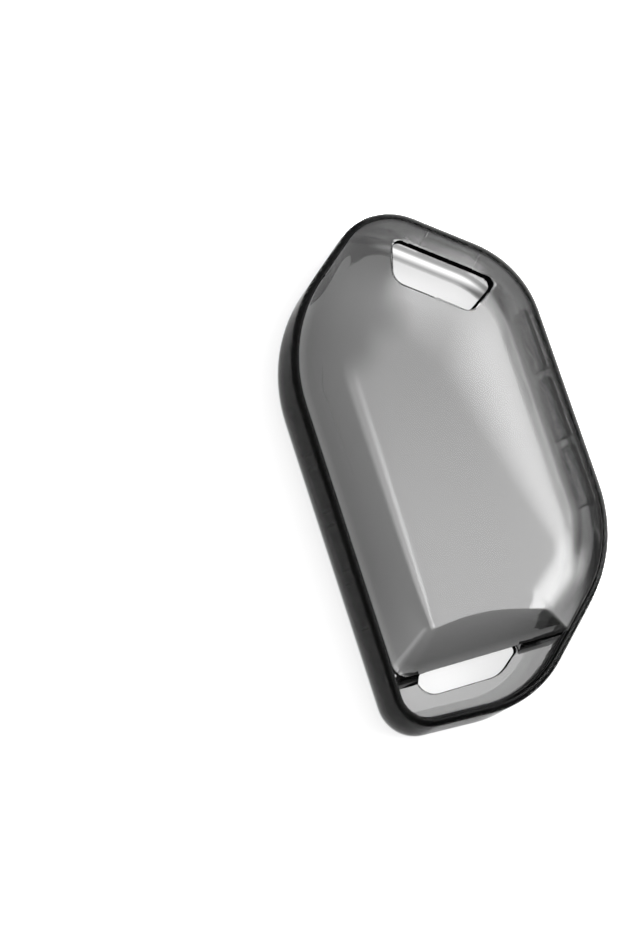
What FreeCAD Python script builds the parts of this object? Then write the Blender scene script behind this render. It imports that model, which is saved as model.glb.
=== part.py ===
"""Smoked clear cover for a car key fob: panel, side frame, rear frame and eight press keys."""
import FreeCAD, Part
import math
import os

# Outline of the cover, seen from the front: x from the middle, heights from the heel corner
cover_width = 48.0
toe_x = 0.0
toe_drop = 1.2
right_foot_height = 20.45
apex_x = 0.0
apex_height = 91.25
right_shoulder_drop = 17.6
left_shoulder_drop = 19.9
apex_radius = 11.25
right_shoulder_radius = 18.0
right_foot_radius = 25.5
toe_radius = 20.5
heel_radius = 6.4
left_shoulder_radius = 28.4

# Levels, from the rear face up
rim_height = 11.4
panel_rise = 2.7
rim_step = 0.2
split_height = 2.0

# Side frame
rim_width = 1.25
wall_thickness = 1.8
rim_rounding = 0.9

# Front panel
panel_thickness = 1.4
panel_gap = 0.05
flange_width = 1.9
crown_inset = 0.25
step_height = 9.45
step_corner_radius = 2.2
step_point_radius = 1.0
step_slope_length = 1.6
step_wall_foot = 1.0
loop_plate_drop = 2.8

# Bevels from the panel's edge up to its crown, the raised middle face: how far in from the
# cover's sides, above the step and below the outline's corners the crown's own corners lie
left_bevel = 9.9
bottom_bevel = 5.8
toe_bevel = 19.5
toe_bevel_drop = 0.9
foot_bevel = 11.0
foot_bevel_lift = 1.4
shoulder_bevel = 18.4
shoulder_bevel_drop = 13.8
apex_bevel_shift = 4.5
apex_bevel_drop = 20.9
left_shoulder_bevel_drop = 9.0
crown_apex_radius = 6.0
crown_shoulder_radius = 12.0
crown_foot_radius = 3.0
crown_corner_radius = 1.0
crown_left_shoulder_radius = 8.0

# Badge window, placed along the right roof edge from the apex and in from that edge
window_centre = 15.8
window_edge_distance = 6.55
window_height = 7.1
window_long_side = 19.4
window_short_side = 14.2
window_radius = 1.5

# Key-ring slot in the loop plate
slot_edge_distance = 5.6
slot_height = 4.5
slot_step_gap = 0.1
slot_lower_length = 13.4
slot_slant = 5.9
slot_inner_radius = 1.0
slot_outer_radius = 2.2
slot_slant_radius = 1.6

# Rear frame
lip_width = 4.0
lip_thickness = 1.3
rear_rounding = 0.8
spigot_width = 0.8
spigot_height = 0.7
spigot_clearance = 0.12
grip_length = 4.6
grip_width = 0.5
grip_height = 0.35
grip_lip_margin = 0.5
grip_count = 2
grip_first_height = 32.5
grip_pitch = 19.8

# Press keys in the side walls: each row shifts clockwise from the middle of its wall
key_height = 4.6
key_radius = 0.8
key_clearance = 0.12
key_flange_margin = 0.5
key_flange_thickness = 0.7
key_seat_gap = 0.05
right_key_count = 3
right_key_length = 10.3
right_key_pitch = 12.85
right_row_shift = -0.35
left_key_count = 4
left_key_length = 8.0
left_key_pitch = 10.5
left_row_shift = 3.325
top_key_length = 10.2
top_key_shift = 2.72

# Every cut runs this far past the face it leaves through
overrun = 4.0

# Two levels closer than this count as one
level_tolerance = 0.005

# Worked-out levels
panel_edge_level = rim_height - rim_step
ledge_level = panel_edge_level - panel_thickness
crown_level = panel_edge_level + panel_rise
plate_level = panel_edge_level - loop_plate_drop
plate_bottom = plate_level - panel_thickness
spigot_level = split_height + spigot_height
key_level = (split_height + ledge_level) / 2
up = FreeCAD.Vector(0, 0, 1)

# Corners of the outline, clockwise: apex, right shoulder, right foot, toe, heel, left shoulder
half_width = cover_width / 2
right_shoulder_height = apex_height - right_shoulder_drop
left_shoulder_height = apex_height - left_shoulder_drop
outline_corners = [
    FreeCAD.Vector(apex_x, apex_height, 0),
    FreeCAD.Vector(half_width, right_shoulder_height, 0),
    FreeCAD.Vector(half_width, right_foot_height, 0),
    FreeCAD.Vector(toe_x, -toe_drop, 0),
    FreeCAD.Vector(-half_width, 0, 0),
    FreeCAD.Vector(-half_width, left_shoulder_height, 0),
]
outline_radii = [apex_radius, right_shoulder_radius, right_foot_radius,
                 toe_radius, heel_radius, left_shoulder_radius]

# Sides of the outline, numbered by the corner that each one starts from
roof_side = 0
right_side = 1
bottom_side = 3
left_side = 4


def edge_lines(corners):
    """One (point, direction) line for each side, from each corner to the next."""
    lines = []
    for place, corner in enumerate(corners):
        following = corners[(place + 1) % len(corners)]
        lines.append((corner, (following - corner).normalize()))
    return lines


def inward(direction):
    """The inward normal of a side of a clockwise outline."""
    return FreeCAD.Vector(direction.y, -direction.x, 0)


def crossing(first, second):
    """Where two lines in the plane cross."""
    point, direction = first
    other_point, other_direction = second
    between = other_point - point
    share = between.cross(other_direction).z / direction.cross(other_direction).z
    return point + direction * share


def inset_corners(lines, inset):
    """Corners of the outline with every side moved inward by the inset."""
    moved = [(point + inward(direction) * inset, direction) for point, direction in lines]
    return [crossing(moved[place - 1], moved[place]) for place in range(len(moved))]


def rounded_wire(corners, radii, level):
    """Closed wire through the corners at a level, each corner rounded to its radius."""
    starts = []
    middles = []
    ends = []
    for place, corner in enumerate(corners):
        back = (corners[place - 1] - corner).normalize()
        ahead = (corners[(place + 1) % len(corners)] - corner).normalize()
        half_angle = back.getAngle(ahead) / 2
        reach = radii[place] / math.tan(half_angle)
        bisector = (back + ahead).normalize()
        depth = radii[place] / math.sin(half_angle) - radii[place]
        lift = up * level
        starts.append(corner + back * reach + lift)
        middles.append(corner + bisector * depth + lift)
        ends.append(corner + ahead * reach + lift)
    edges = []
    for place in range(len(corners)):
        edges.append(Part.Arc(starts[place], middles[place], ends[place]).toShape())
        following = starts[(place + 1) % len(corners)]
        edges.append(Part.LineSegment(ends[place], following).toShape())
    return Part.Wire(edges)


outline_lines = edge_lines(outline_corners)


def outline_wire(inset, level):
    """The cover's outline, moved inward, at a level."""
    radii = [radius - inset for radius in outline_radii]
    return rounded_wire(inset_corners(outline_lines, inset), radii, level)


def slab(wire, height):
    """Solid between a flat wire and the same wire raised by the height."""
    return Part.Face(wire).extrude(up * height)


def outline_slab(inset, bottom, top):
    """Solid with the cover's outline between two levels."""
    return slab(outline_wire(inset, bottom), top - bottom)


def ring(outer_inset, inner_inset, bottom, top):
    """Band that follows the outline between two insets and two levels."""
    hole = outline_slab(inner_inset, bottom - overrun, top + overrun)
    return outline_slab(outer_inset, bottom, top).cut(hole)


def edges_at(solid, level):
    """All edges of a solid that lie flat at a level."""
    flat = []
    for edge in solid.Edges:
        box = edge.BoundBox
        if abs(box.ZMin - level) < level_tolerance and abs(box.ZMax - level) < level_tolerance:
            flat.append(edge)
    return flat


class Wall:
    """One straight side of the outline: its first corner, its middle, the ways along it and in."""

    def __init__(self, side):
        self.start, self.along = outline_lines[side]
        self.inside = inward(self.along)
        self.middle = self.start.distanceToPoint(outline_corners[side + 1]) / 2

    def point(self, distance, depth):
        """Place a distance along the side and a depth in from it, at the rear face."""
        return self.start + self.along * distance + self.inside * depth

    def block(self, distance, length, height, radius):
        """Rounded block through the wall, centred a distance along it at the keys' level."""
        half_length = length / 2
        half_height = height / 2
        corners = [
            FreeCAD.Vector(-half_length, half_height, 0),
            FreeCAD.Vector(half_length, half_height, 0),
            FreeCAD.Vector(half_length, -half_height, 0),
            FreeCAD.Vector(-half_length, -half_height, 0),
        ]
        wire = rounded_wire(corners, [radius] * len(corners), -overrun)
        shape = slab(wire, overrun + wall_thickness + overrun)
        middle = self.point(distance, 0) + up * key_level
        shape.Placement = FreeCAD.Placement(FreeCAD.Matrix(
            self.along.x, 0, self.inside.x, middle.x,
            self.along.y, 0, self.inside.y, middle.y,
            0, 1, 0, middle.z,
            0, 0, 0, 1))
        return shape


top_wall = Wall(roof_side)
right_wall = Wall(right_side)
left_wall = Wall(left_side)

# Each key: node name, its wall, distance along the wall from its first corner, length.
# Both rows are numbered from the roof end down, so the left row counts back along its wall
keys = []
for place in range(right_key_count):
    steps = place - (right_key_count - 1) / 2
    distance = right_wall.middle + right_row_shift + right_key_pitch * steps
    keys.append((f"key_right_{place + 1}", right_wall, distance, right_key_length))
for place in range(left_key_count):
    steps = place - (left_key_count - 1) / 2
    distance = left_wall.middle + left_row_shift + left_key_pitch * steps
    keys.append((f"key_left_{left_key_count - place}", left_wall, distance, left_key_length))
keys.append(("key_top", top_wall, top_wall.middle + top_key_shift, top_key_length))


def make_side_frame():
    """Ring of side walls with a rounded rim, a ledge under the panel and an aperture for each key."""
    body = outline_slab(0, split_height, rim_height)
    body = body.makeFillet(rim_rounding, edges_at(body, rim_height))
    body = body.cut(outline_slab(wall_thickness, split_height - overrun, ledge_level))
    body = body.cut(outline_slab(rim_width, ledge_level, rim_height + overrun))
    growth = 2 * key_clearance
    for _, wall, distance, length in keys:
        aperture = wall.block(distance, length + growth, key_height + growth,
                              key_radius + key_clearance)
        body = body.cut(aperture)
    return body


def make_key(wall, distance, length):
    """Pad that fills its aperture flush with the wall, with a wider flange behind the wall."""
    flange_start = wall_thickness + key_seat_gap
    flange_end = flange_start + key_flange_thickness
    pad = ring(0, flange_end, split_height, ledge_level)
    pad = pad.common(wall.block(distance, length, key_height, key_radius))
    growth = 2 * key_flange_margin
    flange = ring(flange_start, flange_end, split_height, ledge_level)
    flange_block = wall.block(distance, length + growth, key_height + growth,
                              key_radius + key_flange_margin)
    return pad.fuse(flange.common(flange_block)).removeSplitter()


def make_rear_frame():
    """Rear edge with the lip that keeps the fob in, a spigot inside the side frame and four grips."""
    spigot_outer = wall_thickness + spigot_clearance
    spigot_inner = spigot_outer + spigot_width
    body = outline_slab(0, 0, split_height)
    body = body.makeFillet(rear_rounding, edges_at(body, 0))
    body = body.cut(outline_slab(lip_width, -overrun, split_height + overrun))
    body = body.cut(outline_slab(spigot_inner, lip_thickness, split_height + overrun))
    body = body.fuse(ring(spigot_outer, spigot_inner, lip_thickness, spigot_level))
    grip_inset = lip_width - grip_lip_margin - grip_width
    grip_root = lip_thickness / 2
    for place in range(grip_count):
        bottom = grip_first_height + grip_pitch * place - grip_length / 2
        for left_x in (grip_inset - half_width, half_width - grip_inset - grip_width):
            corner = FreeCAD.Vector(left_x, bottom, grip_root)
            depth = lip_thickness - grip_root + grip_height
            body = body.fuse(Part.makeBox(grip_width, grip_length, depth, corner))
    return body.removeSplitter()


def pillow_wire(inset, step_inset, level):
    """Outline of the raised part of the panel: the cover's outline moved in, ending at the step."""
    lines = [(point + inward(direction) * inset, direction) for point, direction in outline_lines]
    radii = [radius - inset for radius in outline_radii]
    lines[bottom_side] = (FreeCAD.Vector(0, step_height + step_inset, 0), FreeCAD.Vector(-1, 0, 0))
    radii[bottom_side] = step_point_radius
    radii[bottom_side + 1] = step_corner_radius
    corners = [crossing(lines[place - 1], lines[place]) for place in range(len(lines))]
    return rounded_wire(corners, radii, level)


crown_left = left_bevel - half_width
crown_bottom = step_height + bottom_bevel
crown_corners = [
    FreeCAD.Vector(apex_x - apex_bevel_shift, apex_height - apex_bevel_drop, 0),
    FreeCAD.Vector(half_width - shoulder_bevel, right_shoulder_height - shoulder_bevel_drop, 0),
    FreeCAD.Vector(half_width - foot_bevel, right_foot_height + foot_bevel_lift, 0),
    FreeCAD.Vector(half_width - toe_bevel, crown_bottom - toe_bevel_drop, 0),
    FreeCAD.Vector(crown_left, crown_bottom, 0),
    FreeCAD.Vector(crown_left, left_shoulder_height - left_shoulder_bevel_drop, 0),
]
crown_radii = [crown_apex_radius, crown_shoulder_radius, crown_foot_radius, crown_corner_radius,
               crown_corner_radius, crown_left_shoulder_radius]


def make_pillow():
    """Raised part of the panel: bevels from the rim up to the crown, hollow underneath."""
    edge_inset = rim_width + panel_gap
    outer = Part.makeLoft([
        pillow_wire(edge_inset, 0, panel_edge_level),
        rounded_wire(crown_corners, crown_radii, crown_level),
    ], True, True)
    flange = slab(pillow_wire(edge_inset, 0, ledge_level), panel_thickness)
    inner_inset = edge_inset + flange_width
    inner_crown = inset_corners(edge_lines(crown_corners), crown_inset)
    hollow = Part.makeLoft([
        pillow_wire(inner_inset, flange_width, ledge_level),
        rounded_wire(inner_crown, crown_radii, crown_level - panel_thickness),
    ], True, True)
    mouth = slab(pillow_wire(inner_inset, flange_width, ledge_level - overrun), overrun)
    return outer.fuse(flange).cut(hollow).cut(mouth)


def make_loop_plate():
    """Sunken plate at the loop end, with the sloping step wall that joins it to the pillow."""
    plate_inset = wall_thickness + panel_gap
    step_back = step_height + flange_width
    section = [
        FreeCAD.Vector(-half_width, step_height, panel_edge_level),
        FreeCAD.Vector(-half_width, step_height - step_slope_length, plate_level),
        FreeCAD.Vector(-half_width, step_height - step_slope_length, plate_bottom),
        FreeCAD.Vector(-half_width, step_height + step_wall_foot, plate_bottom),
        FreeCAD.Vector(-half_width, step_back, ledge_level),
        FreeCAD.Vector(-half_width, step_back, panel_edge_level),
    ]
    section_face = Part.Face(Part.makePolygon(section + section[:1]))
    step_wall = section_face.extrude(FreeCAD.Vector(cover_width, 0, 0))
    step_wall = step_wall.common(outline_slab(plate_inset, plate_bottom, panel_edge_level))
    end_corner = FreeCAD.Vector(-half_width, -toe_drop, plate_bottom)
    end_block = Part.makeBox(cover_width, toe_drop + step_height, panel_thickness, end_corner)
    plate = outline_slab(plate_inset, plate_bottom, plate_level).common(end_block)
    return plate.fuse(step_wall)


def make_window_cut():
    """Block that cuts the badge window, a trapezium that follows the right roof edge."""
    far_depth = window_edge_distance + window_height
    corners = [
        top_wall.point(window_centre - window_long_side / 2, window_edge_distance),
        top_wall.point(window_centre + window_long_side / 2, window_edge_distance),
        top_wall.point(window_centre + window_short_side / 2, far_depth),
        top_wall.point(window_centre - window_short_side / 2, far_depth),
    ]
    wire = rounded_wire(corners, [window_radius] * len(corners), ledge_level - overrun)
    return slab(wire, overrun + crown_level - ledge_level + overrun)


def make_slot_cut():
    """Block that cuts the key-ring slot, square at the heel side and slanted at the toe side."""
    left = slot_edge_distance - half_width
    top = step_height - slot_step_gap
    bottom = top - slot_height
    corners = [
        FreeCAD.Vector(left, top, 0),
        FreeCAD.Vector(left + slot_lower_length + slot_slant, top, 0),
        FreeCAD.Vector(left + slot_lower_length, bottom, 0),
        FreeCAD.Vector(left, bottom, 0),
    ]
    radii = [slot_inner_radius, slot_inner_radius, slot_slant_radius, slot_outer_radius]
    wire = rounded_wire(corners, radii, plate_bottom - overrun)
    return slab(wire, overrun + crown_level - plate_bottom)


def make_front_panel():
    """Clear front: the pillow and the loop plate in one moulding, with the window and the slot."""
    panel = make_pillow().fuse(make_loop_plate())
    panel = panel.cut(make_window_cut()).cut(make_slot_cut())
    return panel.removeSplitter()


nodes = {
    "front_panel": make_front_panel(),
    "side_frame": make_side_frame(),
    "rear_frame": make_rear_frame(),
}
for name, wall, distance, length in keys:
    nodes[name] = make_key(wall, distance, length)

# The origin is the middle of the rear face: every piece moves by the middle of the outline's box
outline_box = outline_wire(0, 0).BoundBox
to_middle = FreeCAD.Vector(-outline_box.Center.x, -outline_box.Center.y, 0)
os.makedirs("parts", exist_ok=True)
for name, shape in nodes.items():
    shape.translate(to_middle)
    shape.exportStep(f"parts/{name}.step")
    box = shape.optimalBoundingBox()
    print(f"{name}: {len(shape.Solids)} solid, valid {shape.isValid()}, {shape.Volume:.1f} mm3, "
          f"x {box.XMin:.2f} to {box.XMax:.2f}, y {box.YMin:.2f} to {box.YMax:.2f}, "
          f"z {box.ZMin:.2f} to {box.ZMax:.2f}")
print(f"outline middle was {outline_box.Center.y:.3f} above the heel corner")
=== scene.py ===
"""Smoked clear key fob cover: the looks of its panel, side frame, rear frame and press keys."""
import math

import bmesh
import bpy
from mathutils import Euler, Matrix, Vector


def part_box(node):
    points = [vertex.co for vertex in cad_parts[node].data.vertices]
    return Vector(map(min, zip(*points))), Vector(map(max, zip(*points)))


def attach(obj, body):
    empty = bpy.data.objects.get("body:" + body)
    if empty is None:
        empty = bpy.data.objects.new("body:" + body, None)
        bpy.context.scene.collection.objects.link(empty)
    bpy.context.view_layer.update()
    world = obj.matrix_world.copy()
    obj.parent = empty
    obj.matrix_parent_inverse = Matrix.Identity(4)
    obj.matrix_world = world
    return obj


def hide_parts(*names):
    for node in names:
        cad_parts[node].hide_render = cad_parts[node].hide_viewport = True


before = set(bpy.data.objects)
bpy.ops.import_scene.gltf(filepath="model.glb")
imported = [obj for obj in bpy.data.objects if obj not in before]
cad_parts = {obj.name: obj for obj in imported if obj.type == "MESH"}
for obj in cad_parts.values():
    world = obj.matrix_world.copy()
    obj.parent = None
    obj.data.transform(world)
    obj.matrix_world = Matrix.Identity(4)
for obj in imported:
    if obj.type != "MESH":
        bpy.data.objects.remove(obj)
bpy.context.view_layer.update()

bl_info = {
    "name": "Smoked key fob cover",
    "version": (1, 0, 0),
    "blender": (4, 5, 0),
    "location": "View3D > Sidebar > Fob cover",
    "description": "Models a smoked clear cover for a car key fob around its packed frame",
    "category": "Object",
}

UP = Vector((0, 0, 1))
WHITE = "#FFFFFF"
BLACK = "#000000"
FULL_RANGE = (0.0, 1.0)

# How finely the round stretches, the straight ones, the bevels and the ridges are divided, and the
# round and straight stretches of a key
ARC_STEPS = 14
STRAIGHT_STEPS = 10
BEVEL_STEPS = 8
RIDGE_STEPS = 10
KEY_ARC_STEPS = 6
KEY_STRAIGHT_STEPS = 12
CORNER_POINTS = STRAIGHT_STEPS + ARC_STEPS

# Segments across a small rounded edge, across the edge of a key and across a large one
SMALL_SEGMENTS = 3
KEY_SEGMENTS = 4
LARGE_SEGMENTS = 10

# A short step that shows which way is inward on the crown, the share of a bevel from the ridge down
# to the point that steers its curve, the bulge of a flat bevel, and how close points become one
DIRECTION_STEP = 0.0005
BULGE_PLACE = 0.6
FLAT_BULGE = 1.0
MERGE_DISTANCE = 0.000002

GRIP_ROWS = 2

# Signs of a key's corners, along the wall and upward
KEY_CORNERS = ((-1, 1), (1, 1), (1, -1), (-1, -1))

# Real sizes of the fine grain in the plastic's surface and of the patches of wear on it, the detail
# of their noise, and the depth of the grain in hard and in soft plastic
GRAIN_SIZE = 0.00025
WEAR_SIZE = 0.002
GRAIN_DETAIL = 2.0
WEAR_DETAIL = 4.0
HARD_GRAIN = 2e-7
SOFT_GRAIN = 5e-7

# Roughness of each surface, for the matt edges a range. Wear scales the first three between two
# shares, over the range of the noise
PANEL_ROUGHNESS = 0.03
SOFT_ROUGHNESS = 0.08
RIM_ROUGHNESS = 0.1
COAT_ROUGHNESS = 0.3
FLOOR_ROUGHNESS = 0.9
MATT_ROUGHNESS = (0.5, 0.8)
WEAR_SHARES = (0.6, 1.4)
NOISE_RANGE = (0.3, 0.7)

HARD_IOR = 1.585

# The satin skin of the soft plastic mirrors far less than polished plastic does, so its index is low
# and a thin satin coat gives what gloss it has
SOFT_IOR = 1.02
SOFT_COAT = 0.15

# Edges past the first angle stay sharp in the shading; the panel's past the second are rounded
SHARP_ANGLE = math.radians(30)
ROUNDED_ANGLE = math.radians(40)

# Stage: the floor's size and place, the lights and the camera
FLOOR_HALF_SIZE = 1.5
FLOOR_GAP = 0.00005
CAMERA_PLACE = (-0.141242, -0.069173, 0.369069)
CAMERA_TURN = (15.9943, -13.6978, -18.2046)
CAMERA_LENS = 88.12
CAMERA_CLIP = 0.01

# Sky: its light grows between two heights, measured along a direction that leans to the back
SKY_DIRECTION = (0.0, 0.55, 1.0)
SKY_HEIGHTS = (0.2, 0.9)
SKY_LIGHTS = (0.3, 0.9)

# Most bounces of a ray, in all and through clear plastic, and most off gloss and straight through
CLEAR_BOUNCES = 32
GLOSS_BOUNCES = 16

# Each softbox: name, direction, distance, width and height, turn in degrees, brightness beside the
# white floor, and the share of its width or height over which each edge fades: left, right, lower, upper
SOFTBOXES = (
    ("overhead softbox", (0.25, 0.05, 0.967), 0.7, (0.5, 0.56), 0, 4.6, (0.12, 0.25, 0.25, 0.5)),
    ("strip light", (0.06, 0.05, 0.997), 0.7, (0.07, 0.4), 0, 4.5, (0.45, 0.45, 0.25, 0.4)),
    ("right softbox", (0.616, -0.05, 0.788), 0.7, (0.402, 0.66), 0, 12.5, (0.4, 0.5, 0.25, 0.5)),
    ("low right softbox", (0.751, -0.3, 0.588), 0.7, (0.42, 0.38), 0, 5.5, (0.45, 0.45, 0.45, 0.45)),
    ("roof softbox", (0.498, 0.311, 0.809), 0.8, (0.32, 0.42), 10, 7.0, (0.7, 0.15, 0.5, 0.2)),
    ("back softbox", (0.1, 0.78, 0.62), 0.8, (1.0, 0.6), 0, 0.7, (0.3, 0.3, 0.3, 0.3)),
    ("camera-side softbox", (-0.45, -0.2, 0.87), 0.8, (0.6, 0.55), 0, 4.0, (0.35, 0.35, 0.35, 0.35)),
)

RIGHT_KEYS = ("key_right_1", "key_right_2", "key_right_3")
LEFT_KEYS = ("key_left_1", "key_left_2", "key_left_3", "key_left_4")
TOP_KEYS = ("key_top",)

# Sides of the outline, numbered by the corner that each one starts from
ROOF_SIDE = 0
RIGHT_SIDE = 1
BOTTOM_SIDE = 3
LEFT_SIDE = 4

side_low, side_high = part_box("side_frame")
panel_low, panel_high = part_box("front_panel")
rear_low, rear_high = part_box("rear_frame")


def length(label, meaning, default):
    """A length setting in metres."""
    return bpy.props.FloatProperty(name=label, description=meaning, default=default,
                                   unit="LENGTH", precision=5)


def radius_of(label, default):
    """The rounding of a corner, seen from the front."""
    return length(label + " radius", "Rounding of that corner", default)


def place(label, meaning, default):
    """A place seen from the front, in metres."""
    return bpy.props.FloatVectorProperty(name=label, description=meaning, default=default,
                                         size=2, unit="LENGTH", precision=5)


def number(label, meaning, default):
    """A plain number setting."""
    return bpy.props.FloatProperty(name=label, description=meaning, default=default, precision=3)


def colour(label, meaning, default):
    """A colour setting, an sRGB hex value."""
    return bpy.props.StringProperty(name=label, description=meaning, default=default)


class FOB_PG_outline(bpy.types.PropertyGroup):
    """Rounded six-cornered outline, seen from the front."""

    half_width: length("Half width", "From the middle to a straight side", side_high.x)
    apex_y: length("Apex", "Place of the apex corner along the cover", 0.047532)
    right_shoulder_y: length("Right shoulder", "Place of the right shoulder corner", 0.029932)
    right_foot_y: length("Right foot", "Place of the corner where the slant starts", -0.023268)
    toe_y: length("Toe", "Place of the corner where the slant ends", -0.044918)
    heel_y: length("Heel", "Place of the lower left corner", -0.043718)
    left_shoulder_y: length("Left shoulder", "Place of the left shoulder corner", 0.027632)
    apex_radius: radius_of("Apex", 0.01125)
    right_shoulder_radius: radius_of("Right shoulder", 0.018)
    right_foot_radius: radius_of("Right foot", 0.0255)
    toe_radius: radius_of("Toe", 0.0205)
    heel_radius: radius_of("Heel", 0.0064)
    left_shoulder_radius: radius_of("Left shoulder", 0.0284)


class FOB_PG_frames(bpy.types.PropertyGroup):
    """Side frame and rear frame."""

    rim_width: length("Rim width", "Width of the rim round the panel", 0.00125)
    wall: length("Wall", "Thickness of the side walls", 0.0018)
    ledge_level: length("Ledge", "Height of the ledge that carries the panel", 0.0098)
    rim_foot: length("Rim foot", "Height at which the black rim meets the wall", 0.0092)
    rim_rounding: length("Rim rounding", "Rounding of the rim's outer edge", 0.001)
    rim_inner_rounding: length("Inner rim rounding", "Rounding of the rim beside the panel", 0.0002)
    edge_rounding: length("Edge rounding", "Rounding of the other edges", 0.00012)
    shelf_rounding: length("Shelf rounding", "Rounding where the rim sits on the ledge", 0.00001)
    seam: length("Seam", "Air left between two pieces that meet", 0.00004)
    lip_width: length("Lip width", "Reach of the rear lip, from the outside", 0.004)
    lip_thickness: length("Lip thickness", "Thickness of the rear lip", 0.0013)
    rear_rounding: length("Rear rounding", "Rounding of the rear edge", 0.0008)
    spigot_start: length("Spigot start", "From the outside to the spigot", 0.00192)
    spigot_width: length("Spigot width", "Thickness of the spigot", 0.0008)
    grip_length: length("Grip length", "Length of a small grip on the lip", 0.0046)
    grip_width: length("Grip width", "Width of a grip", 0.0005)
    grip_height: length("Grip height", "How far a grip stands up from the lip", 0.00035)
    grip_margin: length("Grip margin", "From the lip's edge to a grip", 0.0005)
    grip_first_y: length("First grip", "Place of the lower pair of grips", -0.011218)
    grip_pitch: length("Grip pitch", "From one pair of grips to the next", 0.0198)


class FOB_PG_panel(bpy.types.PropertyGroup):
    """Front panel: pillow, badge window, step and loop plate."""

    edge_gap: length("Edge gap", "Air between the panel and the rim", 0.00005)
    edge_level: length("Edge level", "Height of the panel where it meets the rim", 0.0112)
    thickness: length("Thickness", "Thickness of the panel", 0.0014)
    flange_width: length("Flange width", "Flat border under the panel's edge", 0.0019)
    step_y: length("Step", "Place of the step above the loop plate", -0.034868)
    step_corner_radius: length("Step corner radius", "Rounding at the heel side", 0.0026)
    step_point_radius: length("Step point radius", "Rounding at the slanted side", 0.001)
    step_slope: length("Step slope", "How far the step wall leans out", 0.0013)
    step_lean: length("Step lean", "How far its steep upper part leans out", 0.0003)
    step_fold: length("Step fold", "Height at which its lower part slopes out", 0.01)
    step_gap: length("Step gap", "Where the step wall starts again beside the slot", 0.0004)
    step_thickness: length("Step thickness", "Thickness of the step wall", 0.0012)
    plate_level: length("Plate level", "Height of the loop plate's upper face", 0.0084)
    window_edge: length("Window edge", "From the right roof side to the window", 0.0056)
    window_height: length("Window height", "Height of the window", 0.00805)
    window_long: length("Window long side", "The side nearer to the roof", 0.0205)
    window_long_start: length("Long side start", "From the apex to the long side", 0.0061)
    window_short: length("Window short side", "The side further from the roof", 0.0145)
    window_short_start: length("Short side start", "From the apex to the short side", 0.0085)
    window_taper: length("Window taper", "How far the right end leans, above and below the middle", 0.0011)
    window_radius: length("Window radius", "Rounding of the window's corners near the roof", 0.0015)
    window_right_radius: length("Window right radius", "The same at the short side's right end", 0.0022)
    window_left_radius: length("Window left radius", "The same at the short side's left end", 0.0027)
    slot_left: length("Slot left", "Place of the key-ring slot's left end", -0.0184)
    slot_top: length("Slot top", "Place of the slot's upper side, under the pillow's edge", -0.033968)
    slot_height: length("Slot height", "Height of the slot", 0.00465)
    slot_lower: length("Slot lower side", "Length of the slot's lower side", 0.0144)
    slot_slant: length("Slot slant", "How much longer the upper side is", 0.0061)
    slot_inner_radius: length("Slot inner radius", "Rounding at the step", 0.001)
    slot_outer_radius: length("Slot outer radius", "Rounding at the heel", 0.0032)
    slot_slant_radius: length("Slot slant radius", "Rounding at the slanted end", 0.006)
    cut_rounding: length("Cut rounding", "Rounding of the panel's sharp edges", 0.0002)


class FOB_PG_crown(bpy.types.PropertyGroup):
    """Crown of the panel, its raised middle face: places of its corners and their rounding."""

    apex: place("Apex", "Corner nearest to the roof", (-0.0045, 0.026632))
    shoulder: place("Shoulder", "Corner at the right shoulder", (0.0056, 0.016132))
    foot: place("Foot", "Corner at the right foot", (0.013, -0.021868))
    toe: place("Toe", "Right corner above the step", (0.0045, -0.029968))
    heel: place("Heel", "Left corner above the step", (-0.0149, -0.028468))
    left_shoulder: place("Left shoulder", "Corner at the left shoulder", (-0.0145, 0.018632))
    apex_radius: radius_of("Apex", 0.006)
    shoulder_radius: radius_of("Shoulder", 0.012)
    foot_radius: radius_of("Foot", 0.005)
    toe_radius: radius_of("Toe", 0.0045)
    heel_radius: radius_of("Heel", 0.0015)
    left_shoulder_radius: radius_of("Left shoulder", 0.008)
    apex_ridge: length("Apex ridge", "How softly the ridge is rounded there", 0.0045)
    shoulder_ridge: length("Shoulder ridge", "How softly the ridge is rounded there", 0.006)
    foot_ridge: length("Foot ridge", "How softly the ridge is rounded there", 0.0022)
    toe_ridge: length("Toe ridge", "How softly the slanted ridge is rounded there", 0.003)
    heel_ridge: length("Heel ridge", "How softly the left ridge is rounded at its lower end", 0.0018)
    left_ridge: length("Left ridge", "How softly the left ridge is rounded at its upper end", 0.005)
    left_growth: number("Left growth", "How the left ridge widens: 1 evenly, less sooner", 0.4)
    step_ridge: length("Step ridge", "How softly the ridge above the step is rounded", 0.0004)
    step_bow: length("Step bow", "How far the ridge above the step bows upward", 0.0009)
    bulge: number("Bulge", "Slope beside the ridge, as a share of the bevel's mean slope", 0.7)
    under_inset: length("Under inset", "How far in the crown's underside lies", 0.00025)


class FOB_PG_keys(bpy.types.PropertyGroup):
    """Press keys in the side walls."""

    flange_margin: length("Flange margin", "How far the flange stands past the pad", 0.0005)
    flange_start: length("Flange start", "From the outside to the flange", 0.00185)
    flange_end: length("Flange end", "From the outside to the back of the key", 0.00255)
    corner_radius: length("Corner radius", "Rounding of the pad's corners", 0.0008)
    edge_rounding: length("Edge rounding", "Rounding of the pad's outer edge", 0.0002)
    clearance: length("Clearance", "Air round a pad in its aperture", 0.00012)
    top_length: length("Top key length", "Length of the pad in the roof side", 0.0102)


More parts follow.
